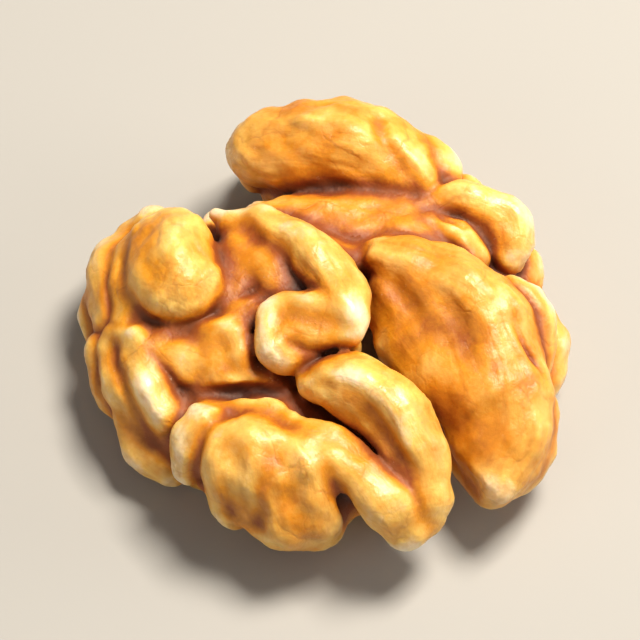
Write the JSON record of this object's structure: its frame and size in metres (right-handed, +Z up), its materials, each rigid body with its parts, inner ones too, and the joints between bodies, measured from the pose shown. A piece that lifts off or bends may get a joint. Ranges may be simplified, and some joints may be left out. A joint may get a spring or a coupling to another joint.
{
  "type": "walnut kernel",
  "caption": "Half walnut kernel with deeply folded outer face, two lobes joined by a bridge over an open cleft, and a ribbed inner face.",
  "frame": {"origin": "centre of the bounding box in plan, at the height of the surface it lies on", "axes": "+Z up out of the folded outer face, X across the two lobes, Y along the nut's midline with the open cleft towards -Y"},
  "size_m": [0.0298, 0.0314, 0.0118],
  "materials": {
    "kernel": "satin golden-brown nut skin, paler on the crests and dark brown in the creases"
  },
  "bodies": {
    "root": {"kernel": "kernel"}
  },
  "joints": []
}
